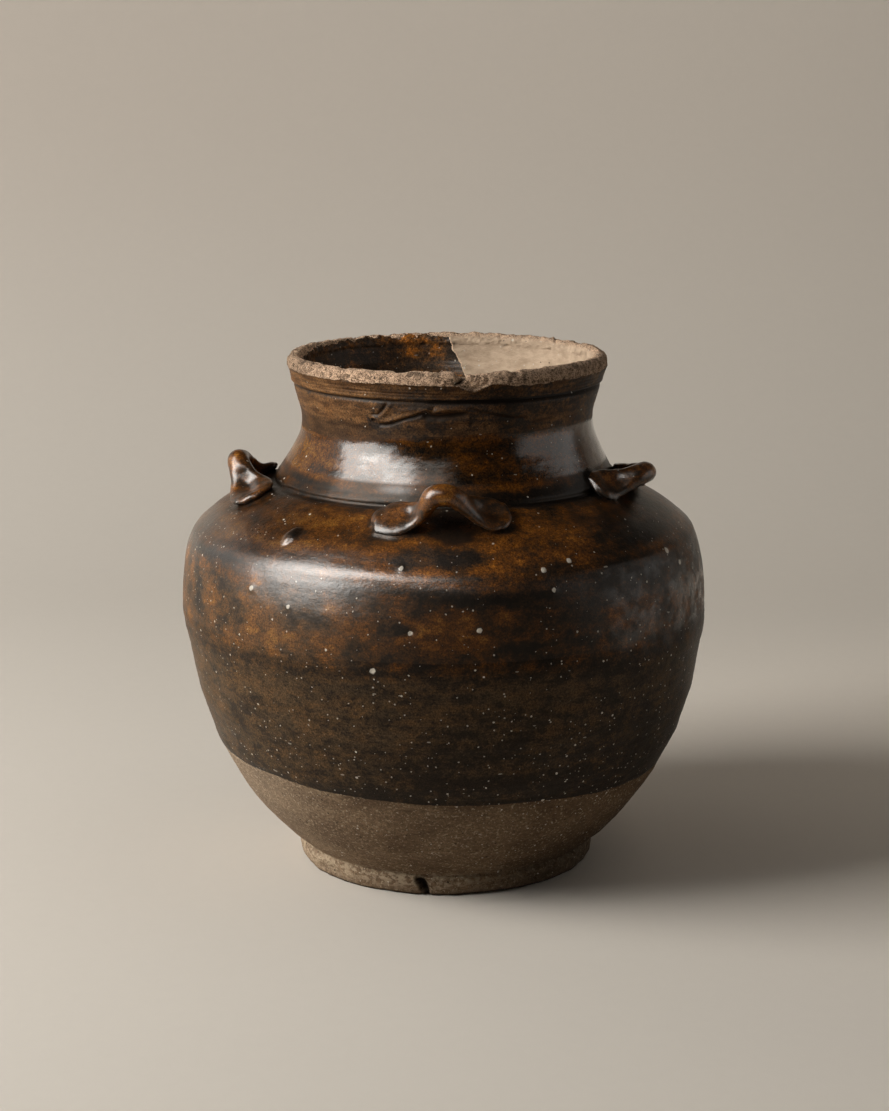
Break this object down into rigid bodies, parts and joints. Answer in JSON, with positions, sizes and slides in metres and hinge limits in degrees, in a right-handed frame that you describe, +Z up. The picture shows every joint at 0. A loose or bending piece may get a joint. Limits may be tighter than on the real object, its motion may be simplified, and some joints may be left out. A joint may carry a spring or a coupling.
{
  "type": "storage jar",
  "caption": "Wide-shouldered stoneware storage jar with a flared neck, rolled rim, low foot flange and arched coil lugs on the shoulder for tying down a cover.",
  "frame": {"origin": "centre of the standing ring, on the surface that the jar stands on", "axes": "+Z up along the jar's axis, -Y towards the front lug"},
  "size_m": [0.2114, 0.2114, 0.205],
  "materials": {
    "foot_clay": "bare matt clay",
    "belly_glaze": "dark brown satin glaze",
    "shoulder_glaze": "glossy amber-brown glaze",
    "neck_glaze": "brown glaze, matt above and glossy below",
    "rim_clay": "bare matt clay",
    "lug_glaze": "glossy brown glaze"
  },
  "bodies": {
    "root": {"base_slab": "foot_clay", "lower_body": "belly_glaze", "upper_body": "shoulder_glaze", "neck": "neck_glaze", "rim_band": "rim_clay", "lug_front": "lug_glaze", "lug_right": "lug_glaze", "lug_back": "lug_glaze", "lug_left": "lug_glaze"}
  },
  "joints": []
}
